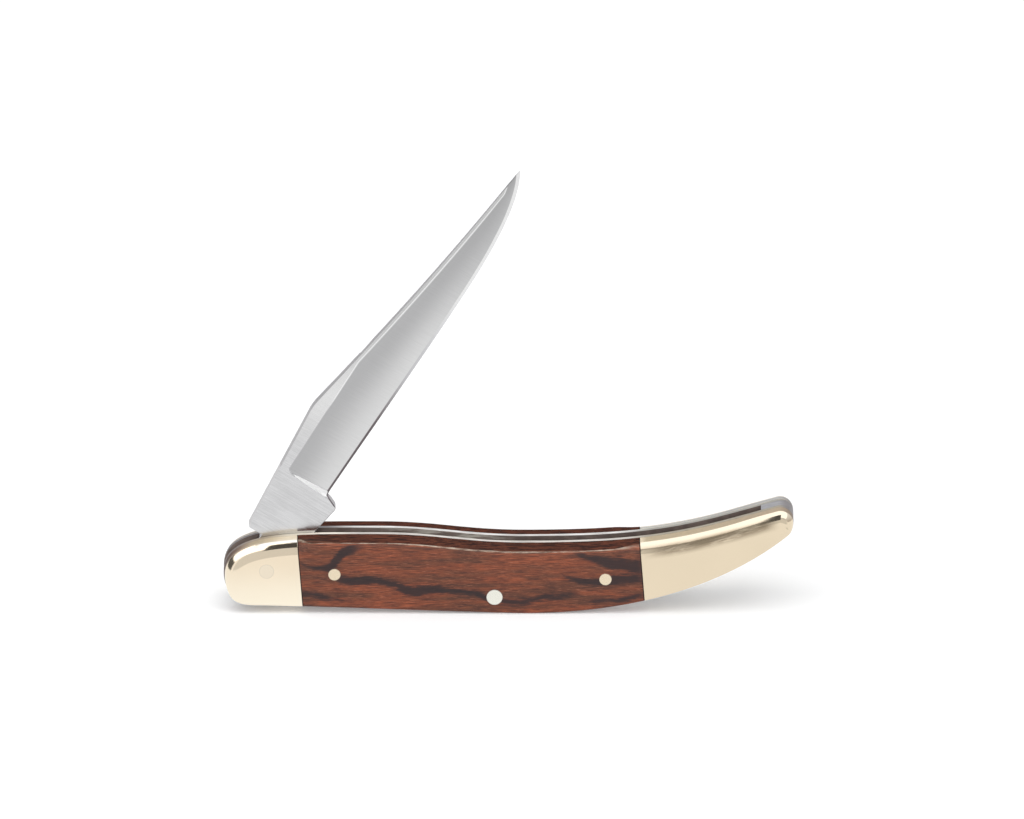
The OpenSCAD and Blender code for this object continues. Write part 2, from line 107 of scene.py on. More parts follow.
# The handle's side outline, finer than in the solids. The numbers in it are the handles of its
# curves, mostly as shares of their spans, and the counts of points.
def handle_outline():
    nose, heel = (FRONT_X, NOSE_H), (HEEL_X, NOSE_DROP)
    belly, saddle, crest = (BELLY_X, 0.0), (SADDLE_X, SADDLE_H), (CREST_X, CREST_H)
    tip = (TAIL_X - TAIL_R, TAIL_H - TAIL_R)
    low = (tip[0] + TAIL_R * math.sin(UNDER_RISE), tip[1] - TAIL_R * math.cos(UNDER_RISE))
    high = (tip[0] - TAIL_R * math.sin(TOP_RISE), tip[1] + TAIL_R * math.cos(TOP_RISE))
    under_pull, top_pull = 0.385 * (low[0] - belly[0]), 0.34 * (high[0] - saddle[0])
    under = bezier(nose, (nose[0], NOSE_H - 0.68 * (NOSE_H - NOSE_DROP)),
                   (heel[0] - 3, heel[1]), heel, 40)
    pull = 0.15 * (belly[0] - heel[0])
    under += bezier(heel, (heel[0] + pull, heel[1]), (belly[0] - pull, 0), belly, 60)
    under += bezier(belly, (belly[0] + 0.8 * under_pull, 0),
                    (low[0] - under_pull * math.cos(UNDER_RISE),
                     low[1] - under_pull * math.sin(UNDER_RISE)), low, 60)
    tail = [(tip[0] + TAIL_R * math.cos(a), tip[1] + TAIL_R * math.sin(a))
            for a in np.linspace(UNDER_RISE - math.pi / 2, math.pi / 2 + TOP_RISE, 33)[1:]]
    top = bezier(high, (high[0] - top_pull * math.cos(TOP_RISE),
                        high[1] - top_pull * math.sin(TOP_RISE)),
                 (saddle[0] + 1.6 * top_pull, SADDLE_H), saddle, 60)
    pull = 0.41 * (saddle[0] - crest[0])
    top += bezier(saddle, (saddle[0] - pull, SADDLE_H), (crest[0] + pull, CREST_H), crest, 40)
    top += bezier(crest, (FRONT_X + 9.5, CREST_H),
                  (FRONT_X, NOSE_H + 1.07 * (CREST_H - NOSE_H)), nose, 60)
    return under, tail, top


UNDER, TAIL, TOP = handle_outline()
TOP_BY_X = TOP[::-1]
OUTLINE = UNDER + TAIL + TOP


def edge_at_x(x, front, rear):
    return max(between(front, SCALE_R, smooth((x - FRONT_JOINT_X) / FRONT_BLEND)),
               between(SCALE_R, rear, smooth((x - REAR_JOINT_X) / REAR_BLEND + 1)))


def slope_at(x):
    return CROWN * smooth((TAIL_X - x - CROWN_END) / CROWN_FADE)


# Making objects
def link_object(name, data):
    obj = bpy.data.objects.new(name, data)
    bpy.context.scene.collection.objects.link(obj)
    return obj


def mesh_object(name, bm):
    mesh = bpy.data.meshes.new(name)
    bm.to_mesh(mesh)
    bm.free()
    return link_object(name, mesh)


def add(name, bm, material, body, nodes=(), sharp=32, bevel=0.0):
    bmesh.ops.recalc_face_normals(bm, faces=bm.faces)
    obj = mesh_object(name, bm)
    mesh = obj.data
    mesh.polygons.foreach_set("use_smooth", [True] * len(mesh.polygons))
    mesh.set_sharp_from_angle(angle=math.radians(sharp))
    mesh.materials.append(material)
    if bevel:
        m = obj.modifiers.new("rim", "BEVEL")
        m.width, m.segments = bevel * MM, 2
        m.limit_method, m.angle_limit = "ANGLE", math.radians(50)
        m.harden_normals = True
    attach(obj, body)
    if nodes:
        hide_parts(*nodes)
    return obj


# Faces between one closed loop of vertices and the next
def skin(bm, loops):
    n = len(loops[0])
    for a, b in zip(loops, loops[1:]):
        for i in range(n):
            bm.faces.new((a[i], a[(i + 1) % n], b[(i + 1) % n], b[i]))
    bm.faces.new(loops[0])
    bm.faces.new(loops[-1])


def plate(points, y0, y1):
    bm = bmesh.new()
    skin(bm, [[bm.verts.new((x * MM, y * MM, z * MM)) for x, z in points] for y in (y0, y1)])
    return bm


# One half of the handle outside its liner, cut at the leaning joints. Its upper edges are
# rounded over a share of the bolsters' thickness, its lower edges are nearly sharp.
def handle_half(side, x_from, x_to, steps=16):
    pts = np.array(OUTLINE)
    d = np.roll(pts, -1, 0) - np.roll(pts, 1, 0)
    inward = np.stack([-d[:, 1], d[:, 0]], 1) / np.linalg.norm(d, axis=1)[:, None]
    upper = np.array([1 - smooth(v) for v in inward[:, 1]])
    full_w = BOLSTER_T * (NEAR_SHARE if side < 0 else FAR_SHARE)
    depth = np.array([edge_at_x(x, FRONT_R, REAR_R) for x in pts[:, 0]])
    width = np.array([edge_at_x(x, full_w, full_w) for x in pts[:, 0]])
    depth = between(np.minimum(depth, LOWER_R), depth, upper)
    width = between(np.minimum(width, LOWER_R), width, upper)
    slope = np.tan([slope_at(x) * u for x, u in zip(pts[:, 0], upper)])
    start = np.arctan(width / depth * slope)
    fall = (BOLSTER_T - width + width * np.sin(start)) * slope
    rows = [np.stack([pts[:, 0], np.full(len(pts), LINER_Y), pts[:, 1]], 1)]
    for k in range(steps + 1):
        a = between(start, math.pi / 2, k / steps)
        q = pts + (fall + depth * (np.cos(start) - np.cos(a)))[:, None] * inward
        rows.append(np.stack([q[:, 0], HALF_T - width * (1 - np.sin(a)), q[:, 1]], 1))
    bm = bmesh.new()
    skin(bm, [[bm.verts.new((p[0] * MM, side * p[1] * MM, p[2] * MM)) for p in row]
              for row in rows])
    across = Vector((math.cos(JOINT_LEAN), 0, math.sin(JOINT_LEAN)))
    for x, keep in ((x_from, 1), (x_to, -1)):
        if x is None:
            continue
        cut = bmesh.ops.bisect_plane(
            bm, geom=bm.verts[:] + bm.edges[:] + bm.faces[:], dist=1e-7,
            plane_co=Vector((x * MM, 0, JOINT_H * MM)), plane_no=across,
            clear_inner=keep > 0, clear_outer=keep < 0)
        rim = [e for e in cut["geom_cut"] if isinstance(e, bmesh.types.BMEdge)]
        bmesh.ops.contextual_create(bm, geom=rim)
    return bm


# The blade's outlines: u along it from the pivot, v towards its back, w towards the near side
SWEEP_U = BLADE_L - SWEEP_L
before_u, after_u = CLIP_U - 1.0, CLIP_U + 1.0
rise_share = (before_u - SHOULDER_U) / (CLIP_U - SHOULDER_U)
back_pts = [(SHOULDER_U, BACK_V), (before_u, between(BACK_V, CLIP_V, rise_share))]
clip = [(CLIP_U, CLIP_V)] + bezier(
    (CLIP_U, CLIP_V), (between(CLIP_U, BLADE_L, 0.37), between(CLIP_V, 0, 0.47)),
    (between(CLIP_U, BLADE_L, 0.65), between(CLIP_V, 0, 0.75)), (BLADE_L, 0.03), 80)
back_pts += bezier(back_pts[-1], (CLIP_U - 0.3, CLIP_V - 0.03), (CLIP_U + 0.3, CLIP_V - 0.06),
                   (after_u, at(clip, after_u)), 8)
back_pts += [p for p in clip if p[0] > after_u + 0.05]
edge_pts = [(PLUNGE_U, -HEEL_V)] + bezier(
    (PLUNGE_U, -HEEL_V), (between(PLUNGE_U, SWEEP_U, 0.33), -HEEL_V - 0.26),
    (between(PLUNGE_U, SWEEP_U, 0.73), -BELLY_V), (SWEEP_U, -BELLY_V), 30) + bezier(
    (SWEEP_U, -BELLY_V), (SWEEP_U + 0.46 * SWEEP_L, -BELLY_V),
    (BLADE_L - 0.17 * SWEEP_L, -0.7 * BELLY_V), (BLADE_L, -0.03), 60)
bearing = TANG_REACH - TANG_CORNER_R
rounded = [(-bearing - TANG_CORNER_R * math.cos(a), bearing + TANG_CORNER_R * math.sin(a))
           for a in np.linspace(0, math.pi / 2, 12)]
under_pts = [(u, -v) for u, v in rounded] + [
    (KICK_U - 8, -TANG_REACH), (KICK_U - KICK_ROUND, -KICK_V),
    (KICK_U + KICK_ROUND, -KICK_V + KICK_ROUND)] + edge_pts
over_pts = rounded + [(SHOULDER_U - 0.001, TANG_REACH), (SHOULDER_U, BACK_V - 0.24),
                      (SHOULDER_U + 0.3, BACK_V + 0.02)] + back_pts[1:]


# Materials. A colour is written as 8 bit red, green and blue.
def srgb(r, g, b):
    def lin(c):
        c /= 255
        return c / 12.92 if c <= 0.04045 else ((c + 0.055) / 1.055) ** 2.4
    return (lin(r), lin(g), lin(b), 1.0)


def grey(value):
    return (value, value, value)


# One material's node tree. Its coordinates are the object's, in millimetres, and level is 1
# where the surface faces straight to the near or far side.
class Nodes:
    def __init__(self, name):
        self.mat = bpy.data.materials.new(name)
        self.mat.use_nodes = True
        self.tree = self.mat.node_tree
        self.tree.nodes.clear()
        out = self.new("OutputMaterial")
        self.bsdf = self.new("BsdfPrincipled")
        self.link(self.bsdf.outputs[0], out.inputs[0])
        self.coord = self.vector("MULTIPLY", self.new("TexCoord").outputs["Object"], (1 / MM,) * 3)
        self.normal = self.split(self.new("NewGeometry").outputs["Normal"])
        self.level = self.math("ABSOLUTE", self.normal[1])

    def new(self, kind):
        return self.tree.nodes.new("ShaderNode" + kind)

    def link(self, a, b):
        self.tree.links.new(a, b)

    def put(self, value, socket):
        if isinstance(value, bpy.types.NodeSocket):
            self.link(value, socket)
        elif isinstance(value, tuple) and len(value) == 3:
            socket.default_value = srgb(*value)
        else:
            socket.default_value = value

    def shader(self, socket, value):
        self.put(value, self.bsdf.inputs[socket])

    def math(self, op, a, b=0.0, c=0.0):
        n = self.new("Math")
        n.operation = op
        for v, s in zip((a, b, c), n.inputs):
            self.put(v, s)
        return n.outputs[0]

    def times(self, value, *factors):
        for factor in factors:
            value = self.math("MULTIPLY", value, factor)
        return value

    def plus(self, value, *others):
        for other in others:
            value = self.math("ADD", value, other)
        return value

    def minus(self, a, b):
        return self.math("SUBTRACT", a, b)

    def map_range(self, kind, value, marks):
        n = self.new("MapRange")
        n.interpolation_type = kind
        for v, s in zip((value,) + marks, n.inputs):
            self.put(v, s)
        return n.outputs[0]

    def ramp(self, value, low, high, to_low=0.0, to_high=1.0):
        return self.map_range("SMOOTHSTEP", value, (low, high, to_low, to_high))

    def line(self, value, low, high, to_low=0.0, to_high=1.0):
        return self.map_range("LINEAR", value, (low, high, to_low, to_high))

    # 1 from full to ease, falling to 0 at start and end
    def zone(self, value, start, full, ease, end):
        return self.times(self.ramp(value, start, full), self.ramp(value, end, ease))

    def split(self, vector):
        n = self.new("SeparateXYZ")
        self.link(vector, n.inputs[0])
        return n.outputs

    def join(self, *parts):
        n = self.new("CombineXYZ")
        for part, socket in zip(parts, n.inputs):
            self.link(part, socket)
        return n.outputs[0]

    def vector(self, op, a, b):
        n = self.new("VectorMath")
        n.operation = op
        self.link(a, n.inputs[0])
        n.inputs[1].default_value = b
        return n.outputs[0]

    # x and z in axes that are turned by an angle
    def turned(self, x, z, angle):
        cos, sin = math.cos(angle), math.sin(angle)
        return (self.math("MULTIPLY_ADD", x, cos, self.times(z, sin)),
                self.math("MULTIPLY_ADD", z, cos, self.times(x, -sin)))

    # Noise with its waves per millimetre along each axis
    def noise(self, waves, detail=3.0, rough=0.55, vector=None):
        n = self.new("TexNoise")
        self.link(self.vector("MULTIPLY", vector or self.coord, waves), n.inputs["Vector"])
        n.inputs["Scale"].default_value = 1.0
        n.inputs["Detail"].default_value = detail
        n.inputs["Roughness"].default_value = rough
        return n.outputs[0]

    def mix(self, factor, a, b):
        n = self.new("Mix")
        n.data_type = "RGBA"
        self.put(factor, n.inputs[0])
        self.put(a, n.inputs[6])
        self.put(b, n.inputs[7])
        return n.outputs[2]

    def stops(self, value, marks):
        colour = marks[0][1]
        for (low, _), (high, after) in zip(marks, marks[1:]):
            colour = self.mix(self.line(value, low, high), colour, after)
        return colour

    def bump(self, height, distance, strength):
        n = self.new("Bump")
        n.inputs["Strength"].default_value = strength
        n.inputs["Distance"].default_value = distance
        self.link(height, n.inputs["Height"])
        self.link(n.outputs[0], self.bsdf.inputs["Normal"])

    # A curve through (share, height) points whose heights lie between low and high
    def follow(self, share, points, low, high):
        n = self.new("FloatCurve")
        spots = [(t, (v - low) / (high - low)) for t, v in points]
        c = n.mapping.curves[0]
        c.points[0].location, c.points[-1].location = spots[0], spots[-1]
        for spot in spots[1:-1]:
            c.points.new(*spot)
        n.mapping.update()
        self.link(share, n.inputs["Value"])
        return self.math("MULTIPLY_ADD", n.outputs[0], high - low, low)


# Polished pale gold metal, its edges ground in long strokes, with painted shade, painted highlights
# and a streaked painted reflection band on the tail
def bolster_metal(name, edges):
    m = Nodes(name)
    x, y, z = m.split(m.coord)
    tail, upper = m.ramp(x, 0, 1), m.ramp(z, 1, 8)
    strokes = m.noise((0.11, 9, 9), 4)
    # Painted shade on the faces: the front bolster's lighter near its bottom and darker towards its
    # top, the rear one darker all over
    low = m.mix(tail, m.mix(upper, (250, 240, 218), (238, 222, 196)), (230, 214, 187))
    high = m.mix(tail, m.mix(upper, (255, 244, 223), (245, 229, 204)), (236, 220, 193))
    face = m.mix(m.noise((0.16, 0.16, 0.16), 2), low, high)

    # The ground edge, its colour by place painted shade and reflection, and a painted highlight
    # beside it over the front bolster's shoulder
    edge = m.mix(m.ramp(strokes, 0.35, 0.65, 0.0, 0.16), m.stops(x, edges), (60, 46, 42))
    facing_up = m.ramp(m.normal[2], 0.3, 0.4)
    lit = m.times(m.zone(x, -34.4, -33, -27, -26), m.ramp(m.level, 0.46, 0.4), facing_up)
    edge = m.mix(m.times(lit, m.ramp(m.level, 0.13, 0.2)), edge, (255, 253, 246))
    ground = m.math("MAXIMUM", m.ramp(m.level, 0.17, 0.13), lit)

    # Painted shade over the tail's highlight on the shoulder, and a painted dark reflection band
    # below it in streaks like scuffs, both by their depth below the top edge
    streak_band_from, tail_lean, tallest = 17, math.atan2(0.28, 0.96), 16
    shares = (0, 0.15, 0.3, 0.45, 0.6, 0.75, 0.86, 0.93, 1)
    tops = [(t, at(TOP_BY_X, between(streak_band_from, TAIL_X, t))) for t in shares]
    deep = m.minus(m.follow(m.line(x, streak_band_from, TAIL_X), tops, 0, tallest), z)
    glare = m.times(tail, m.ramp(m.level, 0.82, 0.7), facing_up)
    face = m.mix(glare, face, m.mix(m.ramp(deep, 0.3, 1.0), (212, 200, 180), (176, 160, 138)))
    along, rise = m.turned(x, z, tail_lean)
    axes = m.join(along, y, rise)
    # A painted dark reflection band below the tail's highlight, in streaks like scuffs
    streak_noise = m.plus(m.times(m.noise((0.26, 0.8, 1.1), 3, 0.6, axes), 0.6),
                   m.times(m.noise((0.5, 3, 8), 4, 0.7, axes), 0.4))
    painted_reflection_band = m.times(m.zone(deep, 0.35, 0.85, 1.3, 2.4), m.zone(x, 17, 22, 34, 36.4),
                   m.ramp(streak_noise, 0.36, 0.54, 0.4, 1.0))
    face = m.mix(m.times(painted_reflection_band, 0.85), face, (142, 126, 104))

    fine = m.noise((0.26, 9, 9), 3)
    m.shader("Base Color", m.mix(ground, face, edge))
    m.shader("Metallic", m.ramp(ground, 0.0, 1.0, 1.0, 0.15))
    m.shader("Specular IOR Level", m.ramp(ground, 0.0, 1.0, 0.5, 0.1))
    m.shader("Roughness", m.plus(
        m.ramp(fine, 0.3, 0.7, 0.06, 0.1), m.times(ground, 0.32), m.times(painted_reflection_band, 0.12),
        m.ramp(x, -34.8, -36.2, 0.0, 0.06)))
    m.bump(fine, 4e-7, 0.5)
    return m.mat


# Ground steel for liners and spring: long strokes along the edges, their colour by place painted
# shade, and slot walls painted dark for shade
def ground_steel(name, dark, light, inside, front=None, tail=None):
    m = Nodes(name)
    x = m.split(m.coord)[0]
    strokes = m.noise((0.26, 7, 2.6), 5, 0.65)
    grain = m.ramp(strokes, 0.32, 0.68)
    edge = m.mix(grain, dark, light)
    # Painted shade and reflection by place: the edges darker towards the nose, over the tail and at
    # the tail tip
    if front:
        edge = m.mix(m.ramp(x, -20, -25), edge, m.stops(x, front))
    if tail:
        edge = m.mix(m.ramp(x, 14, 20), edge, m.mix(grain, *tail))
    edge = m.mix(m.ramp(x, 35.8, 37.4), edge, (116, 111, 113))
    # The slot walls are painted dark for the slot's shade, with blotches and a painted lighter
    # stretch along the middle
    blotch = m.noise((0.5, 0.5, 0.7), 4)
    brighter = tuple(c * 1.5 for c in srgb(*inside)[:3]) + (1,)
    wall = m.mix(m.ramp(blotch, 0.35, 0.65), inside, brighter)
    painted_light_stretch = m.times(m.zone(x, -22, -8, -6, 4), m.ramp(strokes, 0.36, 0.62))
    wall = m.mix(painted_light_stretch, wall, (196, 190, 180))
    sideways = m.ramp(m.level, 0.6, 0.9)
    m.shader("Base Color", m.mix(sideways, edge, wall))
    m.shader("Metallic", m.times(m.ramp(sideways, 0.0, 1.0, 0.9, 0.2),
                                 m.ramp(x, -22, -25, 1.0, 0.2)))
    m.shader("Roughness", m.ramp(strokes, 0.3, 0.7, 0.3, 0.45))
    m.bump(strokes, 5e-6, 0.6)
    return m.mat


# Blade steel: polished flats, a duller hollow grind with fine strokes across it and painted shade,
# painted dark outlines on the narrow faces and a last bevel painted from dark to bright towards the
# tip
def blade_metal(name):
    m = Nodes(name)
    x, y, z = m.split(m.coord)
    u, v = m.turned(m.minus(x, PIVOT[0]), m.minus(z, PIVOT[1]), BLADE_ANGLE)
    w = m.times(y, -1.0)
    own = m.join(u, v, w)
    depth = m.minus(m.line(u, CLIP_U, BLADE_L, BLADE_HALF, TIP_HALF), m.math("ABSOLUTE", w))
    hollow = m.times(m.ramp(depth, 0.006, 0.022), m.ramp(u, 12.2, 12.9))

    # share runs along the ground part, across from its edge to its back
    share = m.line(u, PLUNGE_U, BLADE_L)
    tenths = [(i / 10, between(PLUNGE_U, BLADE_L, i / 10)) for i in range(11)]
    edge = m.follow(share, [(t, at(edge_pts, place)) for t, place in tenths], -4, 6)
    back = m.follow(share, [(t, at(back_pts, place)) for t, place in tenths], -4, 6)
    from_edge = m.minus(v, edge)
    across = m.math("DIVIDE", from_edge, m.plus(m.minus(back, edge), 0.1))
    # Painted shade on the hollow: lighter towards the edge, darker towards its back and towards the
    # tip
    hollow_painted_shade = m.mix(m.ramp(across, 0.0, 0.75),
                  m.mix(m.ramp(share, 0.4, 0.9), grey(224), (196, 196, 197)),
                  m.mix(m.ramp(share, 0.5, 0.95), (186, 186, 187), (178, 178, 179)))

    # Brushed tang and flats, with a thin painted highlight along the hollow's back
    strokes = m.noise((15, 0.26, 0.26), 4, 0.6, own)
    brush = m.plus(m.times(m.noise((5.2, 0.22, 0.3), 4, 0.7, own), 0.6),
                   m.times(m.noise((0.24, 0.24, 0.24), 3, 0.55, own), 0.4))
    flats = m.mix(m.ramp(brush, 0.36, 0.64), (206, 206, 207), (219, 219, 220))
    flats = m.mix(m.times(m.ramp(u, 14, 26), m.ramp(v, 2, 4)), flats, grey(228))
    flats = m.mix(m.ramp(u, 24, 36), flats, grey(206))
    bright = m.times(m.zone(depth, 0.001, 0.008, 0.02, 0.04),
                     m.ramp(u, 22, 25), m.ramp(across, 0.6, 0.7))
    tint = m.mix(m.times(bright, 0.8), m.mix(hollow, flats, hollow_painted_shade), grey(250))

    # The last bevel along the edge, painted dark near the choil and bright towards the tip, and
    # painted shade in the choil's corner
    bevel = m.times(m.ramp(from_edge, m.line(share, 0.0, 1.0, 0.34, 0.56),
                           m.line(share, 0.0, 1.0, 0.24, 0.46)), m.ramp(u, 12.2, 12.5))
    steel = m.mix(m.ramp(share, 0.2, 0.42), (112, 104, 106), (206, 206, 208))
    steel = m.mix(m.ramp(share, 0.42, 0.66), steel, grey(240))
    tint = m.mix(bevel, tint, steel)
    lean = math.atan2(PLUNGE_U - KICK_U - KICK_ROUND, KICK_V - KICK_ROUND - HEEL_V)
    inside = m.plus(m.times(m.minus(u, PLUNGE_U), -math.cos(lean)),
                    m.times(m.plus(v, HEEL_V), math.sin(lean)))
    # Painted shade in the choil's corner
    choil_shade = m.times(m.ramp(inside, 0.2, 0.12), m.zone(u, 11.3, 11.5, 12.3, 12.45))
    tint = m.mix(choil_shade, tint, (104, 96, 100))

    # Painted shade on the narrow faces, and a painted highlight on the steep end of the hollow
    # instead
    plunge = m.times(m.zone(u, 11.95, 12.05, 13.4, 13.6), m.zone(v, -1.95, -1.85, 4.6, 4.7))
    narrow = m.times(m.ramp(m.level, 0.6, 0.35), m.minus(1.0, plunge))
    plunge = m.times(plunge, m.ramp(m.level, 0.94, 0.82))
    tint = m.mix(plunge, tint, grey(232))
    tint = m.mix(narrow, tint, m.mix(m.ramp(v, 0, 1), (128, 124, 128), (164, 162, 165)))

    scaled = m.new("VectorMath")
    scaled.operation = "SCALE"
    m.link(tint, scaled.inputs[0])
    m.link(m.ramp(strokes, 0.3, 0.7, 0.95, 1.03), scaled.inputs[3])
    m.shader("Base Color", scaled.outputs[0])
    m.shader("Metallic", m.ramp(plunge, 0.0, 1.0, 1.0, 0.2))
    m.shader("Roughness", m.plus(m.times(hollow, 0.12), m.ramp(strokes, 0.3, 0.7, 0.16, 0.22)))
    m.bump(strokes, 6e-7, 0.5)
    return m.mat


# Red-brown laminated wood. Each dark streak follows a line of (x, height, half width).
WOOD_FROM, WOOD_TO = -28.5, 18.5
WOOD_TALLEST, STREAK_WIDEST, FADE = 12, 3, 0.03


def wood_share(x):
    return (x - WOOD_FROM) / (WOOD_TO - WOOD_FROM)


def wood(name, streaks, shift):
    m = Nodes(name)
    x, _, z = m.split(m.coord)
    share = m.line(x, WOOD_FROM, WOOD_TO)
    place = m.vector("ADD", m.coord, (shift, shift * 0.7, shift * 1.3))
    wander = m.times(m.minus(m.noise((0.26, 0.26, 0.7), 4, 0.6, place), 0.5), 1.5)
    ragged = m.times(m.minus(m.noise((0.5, 0.9, 6.5), 4, 0.7, place), 0.5), 1.5)
    height = m.plus(z, wander, ragged)
    dark = None
    for streak in streaks:
        shares = [wood_share(p[0]) for p in streak]
        middle = m.follow(share, [(s, p[1]) for s, p in zip(shares, streak)], 0, WOOD_TALLEST)
        room = m.follow(share, [(s, p[2]) for s, p in zip(shares, streak)], 0, STREAK_WIDEST)
        off = m.math("ABSOLUTE", m.minus(height, middle))
        start, end = shares[0], shares[-1]
        inside = m.times(m.ramp(m.minus(room, off), -0.35, 0.3),
                         m.zone(share, start - FADE, start + FADE, end - FADE, end + FADE))
        dark = inside if dark is None else m.math("MAXIMUM", dark, inside)
    fibre = m.noise((0.42, 2.6, 9), 5, 0.7, place)
    broad = m.noise((0.09, 0.4, 0.9), 4, 0.6, place)
    pores = m.noise((0.9, 6, 20), 3, 0.6, place)
    red = m.mix(m.ramp(broad, 0.35, 0.65), (103, 68, 54), (148, 82, 58))
    red = m.mix(m.ramp(fibre, 0.4, 0.62, 0.0, 0.85), red, (68, 48, 45))
    red = m.mix(m.ramp(pores, 0.56, 0.72, 0.0, 0.6), red, (190, 120, 92))
    black = m.mix(m.ramp(fibre, 0.4, 0.7), (46, 42, 45), (64, 52, 50))
    colour = m.mix(m.times(dark, 0.92), red, black)

    # The top edge, and a speckled painted highlight on the arris between it and the face, thinner
    # towards the front
    upper = m.ramp(m.normal[2], 0.0, 0.3)
    top = m.times(upper, m.ramp(m.level, 0.36, 0.2))
    top_colour = m.mix(m.ramp(fibre, 0.4, 0.6), (90, 55, 45), (48, 36, 34))
    colour = m.mix(m.times(top, 0.85), colour, top_colour)
    mid = m.times(m.line(x, -25, -8), m.line(x, 18, 6, 0.5, 1.0))
    arris_highlight = m.times(m.ramp(m.level, m.line(mid, 0, 1, 0.13, 0.2), m.line(mid, 0, 1, 0.19, 0.36)),
                   m.ramp(m.level, m.line(mid, 0, 1, 0.46, 0.82), m.line(mid, 0, 1, 0.34, 0.66)))
    speck = m.noise((0.42, 5, 5), 5, 0.75)
    arris_highlight = m.times(arris_highlight, upper, m.ramp(x, 17.5, 14, 0.25, 1.0), m.ramp(speck, 0.34, 0.6, 0.35, 0.9))
    colour = m.mix(arris_highlight, colour, m.mix(m.ramp(speck, 0.42, 0.62), (112, 92, 78), (190, 174, 156)))

    # A dark line at each joint
    off = m.plus(m.times(x, math.cos(JOINT_LEAN)),
                 m.times(m.minus(z, JOINT_H), math.sin(JOINT_LEAN)))
    front, rear = (joint * math.cos(JOINT_LEAN) for joint in (FRONT_JOINT_X, REAR_JOINT_X))
    gap = m.math("MAXIMUM", m.ramp(off, front + 0.16, front + 0.1),
                 m.ramp(off, rear - 0.16, rear - 0.1))
    colour = m.mix(m.times(gap, 0.85), colour, (34, 24, 24))

    m.shader("Base Color", colour)
    m.shader("Roughness", 0.38)
    m.shader("Specular IOR Level", m.ramp(top, 0.0, 1.0, 0.14, 0.0))
    m.bump(fibre, 6e-6, 0.4)
    return m.mat


# A pin's end: turned metal with a slightly darker rim
def pin_metal(name, rgb, centre, radius):
    m = Nodes(name)
    x, _, z = m.split(m.coord)
    dx, dz = m.minus(x, centre[0]), m.minus(z, centre[1])
    out = m.math("SQRT", m.plus(m.times(dx, dx), m.times(dz, dz)))
    fine = m.noise((9, 0.5, 2.5), 3)
    base = m.mix(fine, tuple(c - 8 for c in rgb), tuple(min(255, c + 4) for c in rgb))
    rim = m.ramp(out, radius - 0.12, radius - 0.02)
    m.shader("Base Color", m.mix(rim, base, tuple(c * 0.93 for c in rgb)))
    m.shader("Metallic", 1.0)
    m.shader("Roughness", m.ramp(fine, 0.3, 0.7, 0.14, 0.24))
    m.bump(fine, 4e-7, 0.4)
    return m.mat


NEAR_STREAKS = [
    [(-28.5, 8.0, 0.0), (-24.6, 6.4, 0.5), (-23.3, 7.3, 0.9), (-21.8, 8.9, 0.8), (-19.8, 9.7, 0.4)],
    [(-23.2, 5.2, 0.3), (-20.5, 4.6, 0.75), (-17.8, 4.9, 0.6), (-15.2, 4.1, 0.6),
     (-13.0, 3.3, 0.75), (-9.0, 3.4, 0.55), (-5.0, 3.0, 0.5), (-1.0, 1.8, 0.45),
     (1.8, 1.8, 0.35), (5.5, 2.4, 0.35), (9.0, 2.7, 0.2)],
    [(-28.5, 3.2, 0.35), (-25.0, 2.4, 0.3), (-21.0, 1.7, 0.12)],
    [(8.5, 8.4, 0.2), (11.0, 7.9, 0.4), (14.0, 7.2, 0.9), (18.4, 6.5, 1.0)],
    [(7.0, 5.6, 0.1), (10.5, 4.6, 0.5), (14.0, 4.9, 0.7), (18.4, 5.1, 0.6)],
    [(10.5, 1.7, 0.1), (14.0, 2.0, 0.35), (18.4, 2.8, 0.3)],
]
FAR_STREAKS = [
    [(-28.5, 4.6, 0.5), (-20.0, 5.4, 0.8), (-12.0, 4.4, 0.5), (-4.0, 5.2, 0.35), (4.0, 4.2, 0.1)],
    [(-16.0, 8.6, 0.1), (-8.0, 8.0, 0.5), (0.0, 7.2, 0.3), (6.0, 7.2, 0.1)],
    [(-6.0, 1.6, 0.1), (2.0, 2.0, 0.5), (10.0, 3.6, 0.7), (18.4, 5.0, 0.8)],
]

# Ground edges by their place along the knife, on the near side (-1) and the far side (1), painted
# with shade and reflection: darker towards both ends, and grey on the far side
GOLD = {
    -1: bolster_metal("bolster_gold", [
        (-38, (84, 66, 60)), (-35.9, (122, 102, 88)), (-33.9, (176, 161, 136)),
        (-31.9, (212, 194, 164)), (-29.5, (240, 225, 199)), (17, (240, 225, 199)),
        (18.5, (176, 160, 132)), (36, (170, 152, 128)), (38, (128, 110, 94))]),
    1: bolster_metal("bolster_gold_far_shaded", [
        (-38, (150, 146, 142)), (17, (150, 146, 142)), (18, (186, 184, 176)),
        (30, (160, 158, 156)), (36, (172, 171, 170)), (38, (120, 116, 116))]),
}
SLOT_SHADE = (104, 92, 86)
# Liner edges painted with shade and reflection by place; the far ones darker at the front
LINER = {
    -1: ground_steel("liner_ground", (160, 154, 148), (226, 222, 216), SLOT_SHADE, [
        (-38, (80, 66, 62)), (-35.9, (104, 88, 78)), (-33.9, (150, 134, 114)),
        (-31.9, (186, 170, 146)), (-29.5, (232, 222, 202)), (-25, (244, 236, 222))],
        ((132, 124, 108), (166, 158, 140))),
    1: ground_steel("liner_ground_far_shaded", (164, 160, 156), (232, 232, 230), SLOT_SHADE, [
        (-38, (92, 86, 88)), (-25, (92, 86, 88))], ((128, 126, 120), (160, 158, 150))),
}
SPRING = ground_steel("spring_ground", (126, 125, 130), (160, 160, 164), (96, 90, 84))
STEEL = blade_metal("blade_ground")

